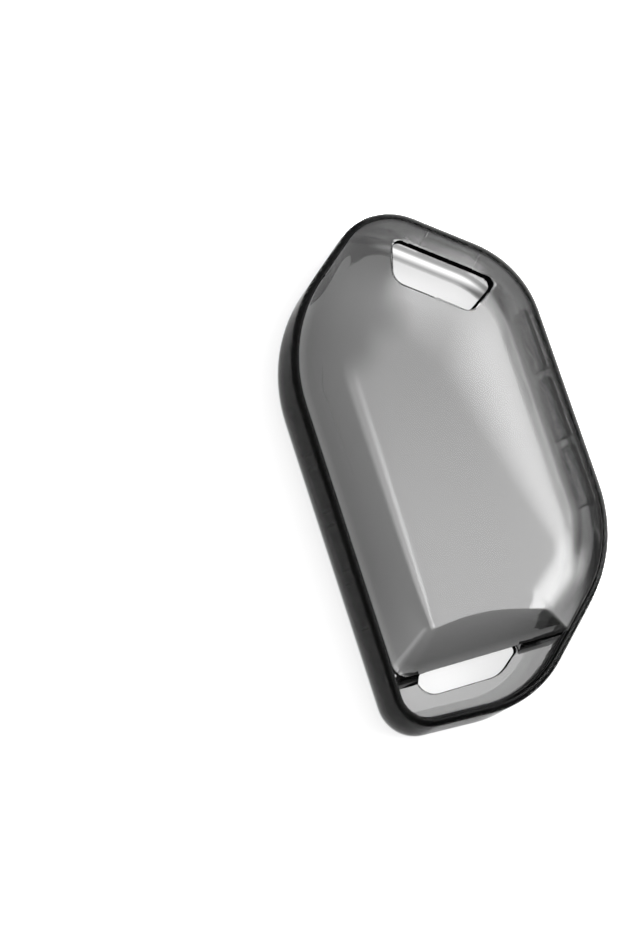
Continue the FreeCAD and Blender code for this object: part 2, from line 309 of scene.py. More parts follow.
class FOB_PG_looks(bpy.types.PropertyGroup):
    """Dye in each plastic, with the rim's extra dye as painted shade and the right keys' lesser dye as
    painted light, the colour of the edges painted as shade, and the colour and glow of the floor.
    """

    panel_density: number("Panel density", "Light lost per metre inside the panel", 1020.0)
    wall_density: number("Wall density", "Light lost per metre inside the walls", 580.0)
    rear_density: number("Rear density", "Light lost per metre inside the rear frame", 1000.0)
    key_density: number("Key density", "Light lost per metre inside the keys", 570.0)
    # Lower than in the other keys: the right keys' lighter tone is painted light
    lit_right_key_density: number("Right key density", "The same inside the keys of the right wall", 480.0)
    # So high that the rim looks black: painted shade for the long path of light down the wall
    shaded_rim_density: number("Rim density", "Light lost per metre inside the rim", 2500.0)
    # The near-black of the edges that are painted as shade
    shade_edge_colour: colour("Edge colour", "Near-black of the matt edges", "#070707")
    floor_colour: colour("Floor colour", "The pale table's own grey, under its glow", "#959595")
    floor_glow: number("Floor glow", "Light that comes up through the pale table", 0.68)
    back_glow: number("Back glow", "The same beyond the right and upper sides", 8.0)
    glow_start: length("Glow start", "Where the table's glow starts to grow, from the outline", -0.004)
    glow_end: length("Glow end", "Where the table's glow is full, from the outline", -0.001)


class FOB_PG_cover(bpy.types.PropertyGroup):
    """All settings of the cover."""

    outline: bpy.props.PointerProperty(type=FOB_PG_outline)
    frames: bpy.props.PointerProperty(type=FOB_PG_frames)
    panel: bpy.props.PointerProperty(type=FOB_PG_panel)
    crown: bpy.props.PointerProperty(type=FOB_PG_crown)
    keys: bpy.props.PointerProperty(type=FOB_PG_keys)
    looks: bpy.props.PointerProperty(type=FOB_PG_looks)


def settings():
    """The cover's settings in the current scene."""
    return bpy.context.scene.fob_cover


# Outlines

def outline_corners():
    """Corners of the cover's outline, clockwise from the apex, and their radii."""
    sizes = settings().outline
    corners = [
        Vector((0, sizes.apex_y)),
        Vector((sizes.half_width, sizes.right_shoulder_y)),
        Vector((sizes.half_width, sizes.right_foot_y)),
        Vector((0, sizes.toe_y)),
        Vector((-sizes.half_width, sizes.heel_y)),
        Vector((-sizes.half_width, sizes.left_shoulder_y)),
    ]
    radii = [sizes.apex_radius, sizes.right_shoulder_radius, sizes.right_foot_radius,
             sizes.toe_radius, sizes.heel_radius, sizes.left_shoulder_radius]
    return corners, radii


def side_lines(corners, inset):
    """One (point, direction) line for each side, moved inward by the inset."""
    lines = []
    for place, corner in enumerate(corners):
        along = (corners[(place + 1) % len(corners)] - corner).normalized()
        inside = Vector((along.y, -along.x))
        lines.append((corner + inside * inset, along))
    return lines


def line_corners(lines):
    """Where each line crosses the one before it."""
    corners = []
    for place, (point, along) in enumerate(lines):
        other_point, other_along = lines[place - 1]
        share = (other_point - point).cross(other_along) / along.cross(other_along)
        corners.append(point + along * share)
    return corners


def rounded_points(corners, radii, arc_steps=ARC_STEPS, straight_steps=STRAIGHT_STEPS):
    """Places along a closed outline through the corners, each corner an arc."""
    arcs = []
    for place, corner in enumerate(corners):
        back = (corners[place - 1] - corner).normalized()
        ahead = (corners[(place + 1) % len(corners)] - corner).normalized()
        half_angle = back.angle(ahead) / 2
        centre = corner + (back + ahead).normalized() * (radii[place] / math.sin(half_angle))
        arm = corner + back * (radii[place] / math.tan(half_angle)) - centre
        turn = math.copysign(math.pi - 2 * half_angle, (-back).cross(ahead))
        arcs.append([centre + Matrix.Rotation(turn * step / arc_steps, 2) @ arm
                     for step in range(arc_steps + 1)])
    points = []
    for place, arc in enumerate(arcs):
        last = arcs[place - 1][-1]
        points += [last.lerp(arc[0], step / straight_steps) for step in range(1, straight_steps)]
        points += arc
    return points


def loop_at(bm, points):
    """Closed loop of new vertices at the points."""
    loop = [bm.verts.new(point) for point in points]
    for place in range(len(loop)):
        bm.edges.new((loop[place - 1], loop[place]))
    return loop


def rounded_loop(bm, corners, radii, height, *steps):
    """Closed loop of vertices through the corners, each corner an arc, at a height."""
    return loop_at(bm, [(point.x, point.y, height) for point in rounded_points(corners, radii, *steps)])


def loop_edges(bm, loop):
    """The edges of a closed loop of vertices."""
    return [bm.edges.get((loop[place - 1], loop[place])) for place in range(len(loop))]


def outline_loop(bm, inset, height):
    """The cover's outline, moved inward, at a height."""
    corners, radii = outline_corners()
    radii = [radius - inset for radius in radii]
    return rounded_loop(bm, line_corners(side_lines(corners, inset)), radii, height)


def bridge(bm, loops, closed):
    """Walls from each loop to the next, and from the last to the first if closed."""
    for place in range(0 if closed else 1, len(loops)):
        near, far = loops[place - 1], loops[place]
        for spot in range(len(near)):
            bm.faces.new((near[spot - 1], near[spot], far[spot], far[spot - 1]))


def ring(bm, section, roundings, rounding):
    """Ring that follows the outline through (inset, height) stations, with rounded edges.
    Stations listed in roundings have their own rounding."""
    loops = [outline_loop(bm, inset, height) for inset, height in section]
    bridge(bm, loops, True)
    bmesh.ops.recalc_face_normals(bm, faces=bm.faces[:])
    edges = {place: loop_edges(bm, loop) for place, loop in enumerate(loops)}
    small = [edge for place in edges if place not in roundings for edge in edges[place]]
    bmesh.ops.bevel(bm, geom=small, offset=rounding, affect="EDGES", segments=SMALL_SEGMENTS,
                    profile=0.5, material=-1)
    for place, width in roundings.items():
        bmesh.ops.bevel(bm, geom=edges[place], offset=width, affect="EDGES", segments=LARGE_SEGMENTS,
                        profile=0.5, material=-1)


def extrude(bm, face, way):
    """Closed solid between a flat face and the same face moved along the way."""
    made = bmesh.ops.extrude_face_region(bm, geom=[face])
    moved = [item for item in made["geom"] if isinstance(item, bmesh.types.BMVert)]
    bmesh.ops.translate(bm, verts=moved, vec=way)


# Pieces

def finish_mesh(bm, name):
    """Mesh object from a bmesh, its faces turned outward, linked to the scene."""
    bmesh.ops.recalc_face_normals(bm, faces=bm.faces[:])
    if bm.calc_volume(signed=True) < 0:
        bmesh.ops.reverse_faces(bm, faces=bm.faces[:])
    mesh = bpy.data.meshes.new(name)
    bm.to_mesh(mesh)
    bm.free()
    piece = bpy.data.objects.new(name, mesh)
    bpy.context.scene.collection.objects.link(piece)
    return piece


def block(name, size, middle):
    """Box of a size about its middle."""
    bm = bmesh.new()
    bmesh.ops.create_cube(bm, size=1)
    bmesh.ops.scale(bm, vec=size, verts=bm.verts[:])
    bmesh.ops.translate(bm, vec=middle, verts=bm.verts[:])
    return finish_mesh(bm, name)


def combine(piece, operation, others):
    """Join other solids to the piece or cut them out of it, and remove them."""
    for other in others:
        step = piece.modifiers.new(other.name, "BOOLEAN")
        step.operation = operation
        step.solver = "EXACT"
        step.material_mode = "TRANSFER"
        step.object = other
    graph = bpy.context.evaluated_depsgraph_get()
    old = piece.data
    piece.data = bpy.data.meshes.new_from_object(piece.evaluated_get(graph))
    piece.modifiers.clear()
    bpy.data.meshes.remove(old)
    for other in others:
        bpy.data.meshes.remove(other.data)


def smooth_shade(piece):
    """Smooth shading with the sharper edges kept, weighted by face size."""
    piece.data.shade_smooth()
    piece.data.set_sharp_from_angle(angle=SHARP_ANGLE)
    step = piece.modifiers.new("Even shading", "WEIGHTED_NORMAL")
    step.keep_sharp = True


def dress(piece, body, nodes, material):
    """Give a piece its shading, its material and its body, and hide the CAD nodes that it stands for."""
    smooth_shade(piece)
    if not any(piece.data.materials):
        piece.data.materials.clear()
        piece.data.materials.append(material)
    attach(piece, body)
    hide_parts(*nodes)


# Materials

def linear(hex_colour):
    """Linear colour with alpha from an sRGB hex value."""
    shares = [int(hex_colour[place:place + 2], 16) / 255 for place in (1, 3, 5)]
    return [share / 12.92 if share <= 0.04045 else ((share + 0.055) / 1.055) ** 2.4
            for share in shares] + [1.0]


def add_node(tree, kind, inputs=None, **options):
    """Add a node with its options; an input is a value or another node's output."""
    made = tree.nodes.new(kind)
    for name, value in options.items():
        setattr(made, name, value)
    for name, value in (inputs or {}).items():
        if isinstance(value, bpy.types.NodeSocket):
            tree.links.new(value, made.inputs[name])
        else:
            made.inputs[name].default_value = value
    return made


def new_material(name):
    """Empty node material."""
    material = bpy.data.materials.new(name)
    material.use_nodes = True
    material.node_tree.nodes.clear()
    return material


def noise(tree, size, detail):
    """Noise with patches of a real size."""
    spot = add_node(tree, "ShaderNodeTexCoord")
    cloud = add_node(tree, "ShaderNodeTexNoise", {
        "Vector": spot.outputs["Object"], "Scale": 1 / size, "Detail": detail})
    return cloud.outputs["Fac"]


def map_range(tree, value, source, target, curve="LINEAR"):
    """A value carried over from one range to another."""
    change = add_node(tree, "ShaderNodeMapRange", {
        "Value": value, "From Min": source[0], "From Max": source[1],
        "To Min": target[0], "To Max": target[1]}, interpolation_type=curve)
    return change.outputs["Result"]


def smoked_plastic(name, ior, coat, roughness, density, grain):
    """Clear plastic with a grey dye through it: its edges go black, since the light that
    reaches the eye there has run a long way inside. A fine grain breaks up the gloss."""
    known = bpy.data.materials.get(name)
    if known:
        return known
    material = new_material(name)
    tree = material.node_tree
    worn = [roughness * share for share in WEAR_SHARES]
    sheen = map_range(tree, noise(tree, WEAR_SIZE, WEAR_DETAIL), NOISE_RANGE, worn)
    relief = add_node(tree, "ShaderNodeBump", {
        "Height": noise(tree, GRAIN_SIZE, GRAIN_DETAIL), "Strength": 1.0, "Distance": grain})
    shader = add_node(tree, "ShaderNodeBsdfPrincipled", {
        "Base Color": linear(WHITE), "Roughness": sheen, "IOR": ior,
        "Transmission Weight": 1.0, "Coat Weight": coat, "Coat Roughness": COAT_ROUGHNESS,
        "Normal": relief.outputs["Normal"]})
    dye = add_node(tree, "ShaderNodeVolumeAbsorption", {
        "Color": linear(BLACK), "Density": density})
    add_node(tree, "ShaderNodeOutputMaterial", {
        "Surface": shader.outputs["BSDF"], "Volume": dye.outputs["Volume"]})
    return material


def smoked_polycarbonate():
    """Hard, polished plastic of the panel."""
    return smoked_plastic("smoked polycarbonate", HARD_IOR, 0.0, PANEL_ROUGHNESS,
                          settings().looks.panel_density, HARD_GRAIN)


def soft_plastic(name, density, roughness=SOFT_ROUGHNESS):
    """Soft, satin plastic with a given amount of dye."""
    return smoked_plastic(name, SOFT_IOR, SOFT_COAT, roughness, density, SOFT_GRAIN)


def smoked_polyurethane():
    """Soft plastic of the walls."""
    return soft_plastic("smoked polyurethane", settings().looks.wall_density)


def rear_polyurethane():
    """The same plastic with more dye, of the rear frame."""
    return soft_plastic("rear polyurethane", settings().looks.rear_density)


def key_polyurethane():
    """The same plastic, of the press keys."""
    return soft_plastic("key polyurethane", settings().looks.key_density)


def lit_right_key_polyurethane():
    """The same plastic with less dye, of the keys in the right wall: their lighter tone is painted light.
    """
    return soft_plastic("lit right key polyurethane", settings().looks.lit_right_key_density)


def shaded_rim_polyurethane():
    """The same plastic with so much dye that the rim looks black: painted shade, for the long path of
    light down the wall.
    """
    return soft_plastic("rim polyurethane with painted shade", settings().looks.shaded_rim_density, RIM_ROUGHNESS)


def painted_shade_edge():
    """Black, matt edges of the panel and of the right keys, painted as shade: they take nearly all the
    light on them.
    """
    known = bpy.data.materials.get("painted shade edge")
    if known:
        return known
    material = new_material("painted shade edge")
    tree = material.node_tree
    sheen = map_range(tree, noise(tree, GRAIN_SIZE, GRAIN_DETAIL), FULL_RANGE, MATT_ROUGHNESS)
    shader = add_node(tree, "ShaderNodeBsdfPrincipled", {
        "Base Color": linear(settings().looks.shade_edge_colour), "Roughness": sheen,
        "Specular IOR Level": 0.0})
    add_node(tree, "ShaderNodeOutputMaterial", {"Surface": shader.outputs["BSDF"]})
    return material


# Walls and keys

class Wall:
    """One side of the outline: a distance along it and a depth in from it give a place."""

    def __init__(self, side):
        corners, radii = outline_corners()
        following = (side + 1) % len(corners)
        self.start = corners[side]
        self.along = (corners[following] - corners[side]).normalized()
        self.inside = Vector((self.along.y, -self.along.x))
        self.span = (corners[following] - corners[side]).length
        self.bends = []
        for corner in (side, following):
            back = corners[corner - 1] - corners[corner]
            ahead = corners[(corner + 1) % len(corners)] - corners[corner]
            reach = radii[corner] / math.tan(back.angle(ahead) / 2)
            self.bends.append((reach, radii[corner]))

    def flat(self, distance, depth):
        """Place beside the straight side."""
        return self.start + self.along * distance + self.inside * depth

    def bent(self, distance, depth):
        """Place beside the side, following its rounded corners."""
        (first_reach, first_radius), (last_reach, last_radius) = self.bends
        last = self.span - last_reach
        if distance < first_reach:
            turn = (first_reach - distance) / first_radius
            inner = first_radius - depth
            return self.flat(first_reach - inner * math.sin(turn),
                             first_radius - inner * math.cos(turn))
        if distance > last:
            turn = (distance - last) / last_radius
            inner = last_radius - depth
            return self.flat(last + inner * math.sin(turn), last_radius - inner * math.cos(turn))
        return self.flat(distance, depth)


def key_places():
    """Each key's node with the side of the outline that it sits in."""
    groups = ((RIGHT_KEYS, RIGHT_SIDE), (LEFT_KEYS, LEFT_SIDE), (TOP_KEYS, ROOF_SIDE))
    return [(node, side) for nodes, side in groups for node in nodes]


def key_solid(node, side, aperture):
    """One key, or the block that cuts its aperture: pad outlines stacked from the outside in."""
    sizes = settings().keys
    wall = Wall(side)
    low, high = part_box(node)
    middle = (low + high) / 2
    margin = sizes.flange_margin
    half_length = sizes.top_length / 2 if side == ROOF_SIDE else (high.y - low.y) / 2 - margin
    half_height = (high.z - low.z) / 2 - margin
    distance = (middle.xy - wall.start).dot(wall.along)
    bm = bmesh.new()

    def pad_loop(growth, depth):
        """Outline of the pad, grown by a little, at a depth in from the outside."""
        across = half_length + growth
        upward = half_height + growth
        corners = [Vector((distance + along * across, middle.z + height * upward))
                   for along, height in KEY_CORNERS]
        radii = [sizes.corner_radius + growth] * len(corners)
        return rounded_loop(bm, corners, radii, depth, KEY_ARC_STEPS, KEY_STRAIGHT_STEPS)

    if aperture:
        loops = [pad_loop(sizes.clearance, -sizes.flange_end),
                 pad_loop(sizes.clearance, sizes.flange_end)]
    else:
        loops = [pad_loop(0, 0), pad_loop(0, sizes.flange_start),
                 pad_loop(margin, sizes.flange_start), pad_loop(margin, sizes.flange_end)]
    bridge(bm, loops, False)
    # The flange's upper edge and lower end are painted black on the right keys, as shade
    if node in RIGHT_KEYS and not aperture:
        for face in bm.faces[-len(loops[-1]):]:
            spot = face.calc_center_median()
            above = spot.y > middle.z + half_height
            beyond = spot.x > distance + half_length
            face.material_index = int(above or beyond)
    bm.faces.new(loops[0])
    bm.faces.new(loops[-1])
    if not aperture:
        bmesh.ops.bevel(bm, geom=loop_edges(bm, loops[0]), offset=sizes.edge_rounding,
                        affect="EDGES", segments=KEY_SEGMENTS, profile=0.5, material=-1)
    for vert in bm.verts:
        spot = wall.bent(vert.co.x, vert.co.z)
        vert.co = (spot.x, spot.y, vert.co.y)
    return finish_mesh(bm, node + "_pad")


# Panel

def pillow_loop(bm, inset, step_inset, height):
    """Outline of the pillow: the cover's outline moved in, with the step as its lower side."""
    sizes = settings().panel
    corners, radii = outline_corners()
    lines = side_lines(corners, inset)
    radii = [radius - inset for radius in radii]
    lines[BOTTOM_SIDE] = (Vector((0, sizes.step_y + step_inset)), Vector((-1, 0)))
    radii[BOTTOM_SIDE] = sizes.step_point_radius
    radii[BOTTOM_SIDE + 1] = sizes.step_corner_radius
    return rounded_loop(bm, line_corners(lines), radii, height)


def crown_points(inset, height):
    """Places along the crown's outline, moved inward, at a height."""
    sizes = settings().crown
    corners = [Vector(corner) for corner in (sizes.apex, sizes.shoulder, sizes.foot, sizes.toe,
                                             sizes.heel, sizes.left_shoulder)]
    radii = [sizes.apex_radius, sizes.shoulder_radius, sizes.foot_radius, sizes.toe_radius,
             sizes.heel_radius, sizes.left_shoulder_radius]
    points = rounded_points(line_corners(side_lines(corners, inset)),
                            [radius - inset for radius in radii])
    first = BOTTOM_SIDE * CORNER_POINTS + CORNER_POINTS
    for step in range(1, STRAIGHT_STEPS):
        share = step / STRAIGHT_STEPS
        points[first + step - 1].y += sizes.step_bow * math.sin(math.pi * share)
    return [Vector((point.x, point.y, height)) for point in points]


def along_crown(before, after, last_growth=1.0):
    """A value for each place along the crown's outline, from its values at both ends of each corner.
    Along the side before the last corner it grows with that power of the distance."""
    values = []
    growths = [1.0] * (len(before) - 1) + [last_growth]
    for corner, growth in enumerate(growths):
        for step in range(1, STRAIGHT_STEPS):
            share = (step / STRAIGHT_STEPS) ** growth
            values.append(after[corner - 1] * (1 - share) + before[corner] * share)
        for step in range(ARC_STEPS + 1):
            share = step / ARC_STEPS
            values.append(before[corner] * (1 - share) + after[corner] * share)
    return values


def curve_between(start, middle, end, share):
    """Place on the curve that leaves the start towards the middle and comes from it to the end."""
    return start.lerp(middle, share).lerp(middle.lerp(end, share), share)


def pillow_skin(bm, inset, step_inset, edge_level, crown_inset, crown_level):
    """Loops from the pillow's edge up the swelling bevels and over the soft ridge to the crown."""
    sizes = settings().crown
    widths = along_crown(
        [sizes.apex_ridge, sizes.shoulder_ridge, sizes.foot_ridge, sizes.toe_ridge,
         sizes.step_ridge, sizes.left_ridge],
        [sizes.apex_ridge, sizes.shoulder_ridge, sizes.foot_ridge, sizes.step_ridge,
         sizes.heel_ridge, sizes.left_ridge], sizes.left_growth)
    swelling = [sizes.bulge, sizes.bulge, sizes.bulge, FLAT_BULGE, FLAT_BULGE, FLAT_BULGE]
    bulges = along_crown(swelling, swelling)
    edge = pillow_loop(bm, inset, step_inset, edge_level)
    ridges = crown_points(crown_inset, crown_level)
    inner = crown_points(crown_inset + DIRECTION_STEP, crown_level)
    starts = []
    middles = []
    ends = []
    for vert, ridge, further, width, bulge in zip(edge, ridges, inner, widths, bulges):
        fall = vert.co - ridge
        slope = Vector((fall.x, fall.y, fall.z * bulge))
        starts.append(ridge + slope.normalized() * width)
        middles.append(ridge + slope * BULGE_PLACE)
        ends.append(ridge + (further - ridge).normalized() * width)
    loops = [edge]
    for step in range(1, BEVEL_STEPS):
        share = step / BEVEL_STEPS
        loops.append(loop_at(bm, [curve_between(vert.co, middle, start, share)
                                  for vert, middle, start in zip(edge, middles, starts)]))
    for step in range(RIDGE_STEPS + 1):
        share = step / RIDGE_STEPS
        loops.append(loop_at(bm, [curve_between(start, ridge, end, share)
                                  for start, ridge, end in zip(starts, ridges, ends)]))
    return loops


def pillow():
    """Raised part of the panel, hollow underneath."""
    sizes = settings().panel
    frames = settings().frames
    inset = frames.rim_width + sizes.edge_gap
    base = frames.ledge_level + frames.seam
    bm = bmesh.new()
    upper = pillow_skin(bm, inset, 0, sizes.edge_level, 0, panel_high.z)
    lower = pillow_skin(bm, inset + sizes.flange_width, sizes.flange_width, base,
                        settings().crown.under_inset, panel_high.z - sizes.thickness)
    foot = pillow_loop(bm, inset, 0, base)
    loops = lower[::-1] + [foot] + upper
    bridge(bm, loops, False)
    # The panel's edge, between its foot and its upper skin, is painted black above the step, as shade
    first = len(lower) * len(foot)
    for face in bm.faces[first:first + len(foot)]:
        above_step = face.calc_center_median().y > sizes.step_y + sizes.step_corner_radius
        face.material_index = int(above_step)
    bm.faces.new(loops[0])
    bm.faces.new(loops[-1])
    return finish_mesh(bm, "clear_panel")


def loop_plate():
    """Sunken plate at the loop end."""
    sizes = settings().panel
    bm = bmesh.new()
    sheet = bm.faces.new(outline_loop(bm, settings().frames.wall + sizes.edge_gap, panel_low.z))
    extrude(bm, sheet, UP * (sizes.plate_level - panel_low.z))
    cut = bmesh.ops.bisect_plane(bm, geom=bm.verts[:] + bm.edges[:] + bm.faces[:],
                                 plane_co=(0, sizes.step_y + sizes.step_thickness / 2, 0),
                                 plane_no=(0, 1, 0), clear_outer=True)
    rim = [item for item in cut["geom_cut"] if isinstance(item, bmesh.types.BMEdge)]
    bmesh.ops.contextual_create(bm, geom=rim)
    return finish_mesh(bm, "loop_plate")


def step_wall():
    """Thin leaning wall between the loop plate and the pillow, left out above the slot."""
    sizes = settings().panel
    frames = settings().frames
    half_width = settings().outline.half_width
    foot_y = sizes.step_y - sizes.step_slope
    fold_y = sizes.step_y - sizes.step_lean
    thickness = sizes.step_thickness
    outside = [(sizes.step_y, sizes.edge_level), (fold_y, sizes.step_fold), (foot_y, sizes.plate_level),
               (foot_y, panel_low.z)]
    inside = [(foot_y + thickness, panel_low.z), (fold_y + thickness, sizes.step_fold),
              (sizes.step_y + thickness, sizes.edge_level)]
    bm = bmesh.new()
    face = bm.faces.new([bm.verts.new((-half_width, y, z)) for y, z in outside + inside])
    strips = (bm.edges.get(face.verts[:2]), bm.edges.get((face.verts[0], face.verts[-1])))
    extrude(bm, face, (2 * half_width, 0, 0))
    # Its top and its upper strip are painted black, as shade
    for strip in strips:
        for side in strip.link_faces:
            side.material_index = int(side is not face)
    wall = finish_mesh(bm, "step_wall")
    wall.data.materials.append(smoked_polycarbonate())
    wall.data.materials.append(painted_shade_edge())
    bm = bmesh.new()
    sheet = bm.faces.new(outline_loop(bm, frames.wall + 2 * sizes.edge_gap, 0))
    extrude(bm, sheet, UP * panel_high.z)
    combine(wall, "INTERSECT", [finish_mesh(bm, "step_limit")])
    gap_size = (sizes.step_gap - sizes.slot_left, 2 * sizes.slot_height, 2 * panel_high.z)
    gap_middle = ((sizes.slot_left + sizes.step_gap) / 2, sizes.step_y, 0)
    combine(wall, "DIFFERENCE", [block("slot_gap", gap_size, gap_middle)])
    return wall


def opening(name, lower, upper, radii, low, high):
    """Block that cuts an opening in the panel, between an outline below and one above."""
    bm = bmesh.new()
    loops = [rounded_loop(bm, lower, radii, low), rounded_loop(bm, upper, radii, high)]
    bridge(bm, loops, False)
    for loop in loops:
        bm.faces.new(loop)
    return finish_mesh(bm, name)


def badge_window():
    """Block for the badge window, a trapezium that follows the right roof side."""
    sizes = settings().panel
    wall = Wall(ROOF_SIDE)
    far = sizes.window_edge + sizes.window_height

    def outline(taper):
        """Corners of the window, its right end moved along by the taper."""
        return [wall.flat(sizes.window_long_start, sizes.window_edge),
                wall.flat(sizes.window_long_start + sizes.window_long + taper, sizes.window_edge),
                wall.flat(sizes.window_short_start + sizes.window_short + taper, far),
                wall.flat(sizes.window_short_start, far)]

    radii = [sizes.window_radius, sizes.window_radius, sizes.window_right_radius, sizes.window_left_radius]
    return opening("badge_window", outline(-sizes.window_taper), outline(sizes.window_taper), radii,
                   settings().frames.rim_foot, panel_high.z + sizes.thickness)


def key_ring_slot():
    """Block for the key-ring slot, square at the heel side and slanted at the toe side."""
    sizes = settings().panel
    left = sizes.slot_left
    right = left + sizes.slot_lower
    bottom = sizes.slot_top - sizes.slot_height
    corners = [Vector((left, sizes.slot_top)), Vector((right + sizes.slot_slant, sizes.slot_top)),
               Vector((right, bottom)), Vector((left, bottom))]
    radii = [sizes.slot_inner_radius, sizes.slot_inner_radius, sizes.slot_slant_radius,
             sizes.slot_outer_radius]
    return opening("key_ring_slot", corners, corners, radii, 0, settings().frames.ledge_level)


def round_edges(piece, angle, width):
    """Round the edges of the piece that are sharper than the angle and have room for it."""
    bm = bmesh.new()
    bm.from_mesh(piece.data)
    bmesh.ops.remove_doubles(bm, verts=bm.verts[:], dist=MERGE_DISTANCE)
    bmesh.ops.dissolve_degenerate(bm, edges=bm.edges[:], dist=MERGE_DISTANCE)
    sharp = {edge for edge in bm.edges if edge.is_manifold and edge.calc_face_angle() > angle}

    def has_room(vert):
        """Whether one run of sharp edges passes here, with nothing close beside it."""
        bends = [edge for edge in vert.link_edges if edge in sharp]
        others = [edge for edge in vert.link_edges if edge not in sharp]
        return len(bends) == 2 and all(edge.calc_length() > 2 * width for edge in others)

    chosen = [edge for edge in bm.edges if edge in sharp and all(has_room(vert) for vert in edge.verts)]
    bmesh.ops.bevel(bm, geom=chosen, offset=width, affect="EDGES", segments=SMALL_SEGMENTS,
                    profile=0.5, material=-1, clamp_overlap=False)
    bm.to_mesh(piece.data)
    bm.free()


# Stage

def softbox(name, direction, distance, size, turn, brightness, fades):
    """Area light that points at the cover, with soft edges."""
    light = bpy.data.lights.new(name, "AREA")
    light.shape = "RECTANGLE"
    light.size, light.size_y = size
    light.energy = math.pi * brightness * light.size * light.size_y
    light.use_nodes = True
    tree = light.node_tree
    tree.nodes.clear()
    spot = add_node(tree, "ShaderNodeNewGeometry")
    shares = add_node(tree, "ShaderNodeSeparateXYZ", {"Vector": spot.outputs["Parametric"]})
    glow = 1.0
    for axis, near, far in (("X", *fades[:2]), ("Y", *fades[2:])):
        for start, end in ((0.0, near), (1.0, 1.0 - far)):
            edge = map_range(tree, shares.outputs[axis], (start, end), FULL_RANGE, "SMOOTHSTEP")
            product = add_node(tree, "ShaderNodeMath", {0: edge, 1: glow}, operation="MULTIPLY")
            glow = product.outputs["Value"]
    lamp = add_node(tree, "ShaderNodeEmission", {"Color": linear(WHITE), "Strength": glow})
    add_node(tree, "ShaderNodeOutputLight", {"Surface": lamp.outputs["Emission"]})
    holder = bpy.data.objects.new(name, light)
    aim = Vector(direction).normalized()
    across = Vector((aim.z, 0, -aim.x)).normalized()
    facing = Matrix((across, aim.cross(across), aim)).transposed().to_4x4()
    spin = Matrix.Rotation(math.radians(turn), 4, "Z")
    holder.matrix_world = Matrix.Translation(aim * distance) @ facing @ spin
    return holder


def lit_table():
    """Pale table that glows from below, and more so beyond the right and upper sides."""
    looks = settings().looks
    material = new_material("pale lit table")
    tree = material.node_tree
    spot = add_node(tree, "ShaderNodeTexCoord")
    reach = looks.glow_start
    for side in (ROOF_SIDE, RIGHT_SIDE):
        wall = Wall(side)
        from_side = add_node(tree, "ShaderNodeVectorMath", {
            0: spot.outputs["Object"], 1: wall.start.to_3d()}, operation="SUBTRACT")
        outward = add_node(tree, "ShaderNodeVectorMath", {
            0: from_side.outputs["Vector"], 1: -wall.inside.to_3d()}, operation="DOT_PRODUCT")
        furthest = add_node(tree, "ShaderNodeMath", {
            0: outward.outputs["Value"], 1: reach}, operation="MAXIMUM")
        reach = furthest.outputs["Value"]
    glow = map_range(tree, reach, (looks.glow_start, looks.glow_end),
                     (looks.floor_glow, looks.back_glow), "SMOOTHSTEP")
    shader = add_node(tree, "ShaderNodeBsdfPrincipled", {
        "Base Color": linear(looks.floor_colour), "Roughness": FLOOR_ROUGHNESS,
        "Emission Color": linear(WHITE), "Emission Strength": glow})
    add_node(tree, "ShaderNodeOutputMaterial", {"Surface": shader.outputs["BSDF"]})
    return material


def studio_sky():
    """White sky, brighter overhead and to the back."""
    world = bpy.data.worlds.new("studio")
    world.use_nodes = True
    tree = world.node_tree
    tree.nodes.clear()
    way = add_node(tree, "ShaderNodeTexCoord")
    height = add_node(tree, "ShaderNodeVectorMath", {
        0: way.outputs["Generated"], 1: SKY_DIRECTION}, operation="DOT_PRODUCT")
    fade = map_range(tree, height.outputs["Value"], SKY_HEIGHTS, SKY_LIGHTS, "SMOOTHSTEP")
    sky = add_node(tree, "ShaderNodeBackground", {"Color": linear(WHITE), "Strength": fade})
    add_node(tree, "ShaderNodeOutputWorld", {"Surface": sky.outputs["Background"]})
    return world


def photo_camera():
    """Camera at the photo's viewing angle."""
    lens = bpy.data.cameras.new("camera")
    lens.lens = CAMERA_LENS
    lens.clip_start = CAMERA_CLIP
    camera = bpy.data.objects.new("camera", lens)
    camera.location = CAMERA_PLACE
    camera.rotation_euler = Euler([math.radians(angle) for angle in CAMERA_TURN])
    return camera


# Operators

class FOB_OT_side_frame(bpy.types.Operator):
    """Model the ring of side walls with its rim, ledge and key apertures"""

    bl_idname = "fob.side_frame"
    bl_label = "Side frame"

    def execute(self, context):
        sizes = settings().frames
        base = side_low.z + sizes.seam
        bm = bmesh.new()
        section = [(0, base), (0, sizes.rim_foot), (sizes.rim_width, sizes.rim_foot),
                   (sizes.rim_width, sizes.ledge_level), (sizes.wall, sizes.ledge_level),
                   (sizes.wall, base)]
        ring(bm, section, {}, sizes.edge_rounding)
        piece = finish_mesh(bm, "side_walls")
        combine(piece, "DIFFERENCE", [key_solid(node, side, True) for node, side in key_places()])
        dress(piece, "case", ["side_frame"], smoked_polyurethane())
        base = sizes.rim_foot + sizes.seam
        shelf = sizes.ledge_level + sizes.seam
        inner = sizes.rim_width - sizes.seam
        bm = bmesh.new()
        section = [(0, base), (0, side_high.z), (sizes.rim_width, side_high.z), (sizes.rim_width, shelf),
                   (inner, shelf), (inner, base)]
        ring(bm, section, {1: sizes.rim_rounding, 2: sizes.rim_inner_rounding, 3: sizes.shelf_rounding,
                           4: sizes.shelf_rounding}, sizes.edge_rounding)
        piece = finish_mesh(bm, "rim_band")
        # The rim's extra dye is painted shade
        dress(piece, "case", ["side_frame"], shaded_rim_polyurethane())
        return {"FINISHED"}


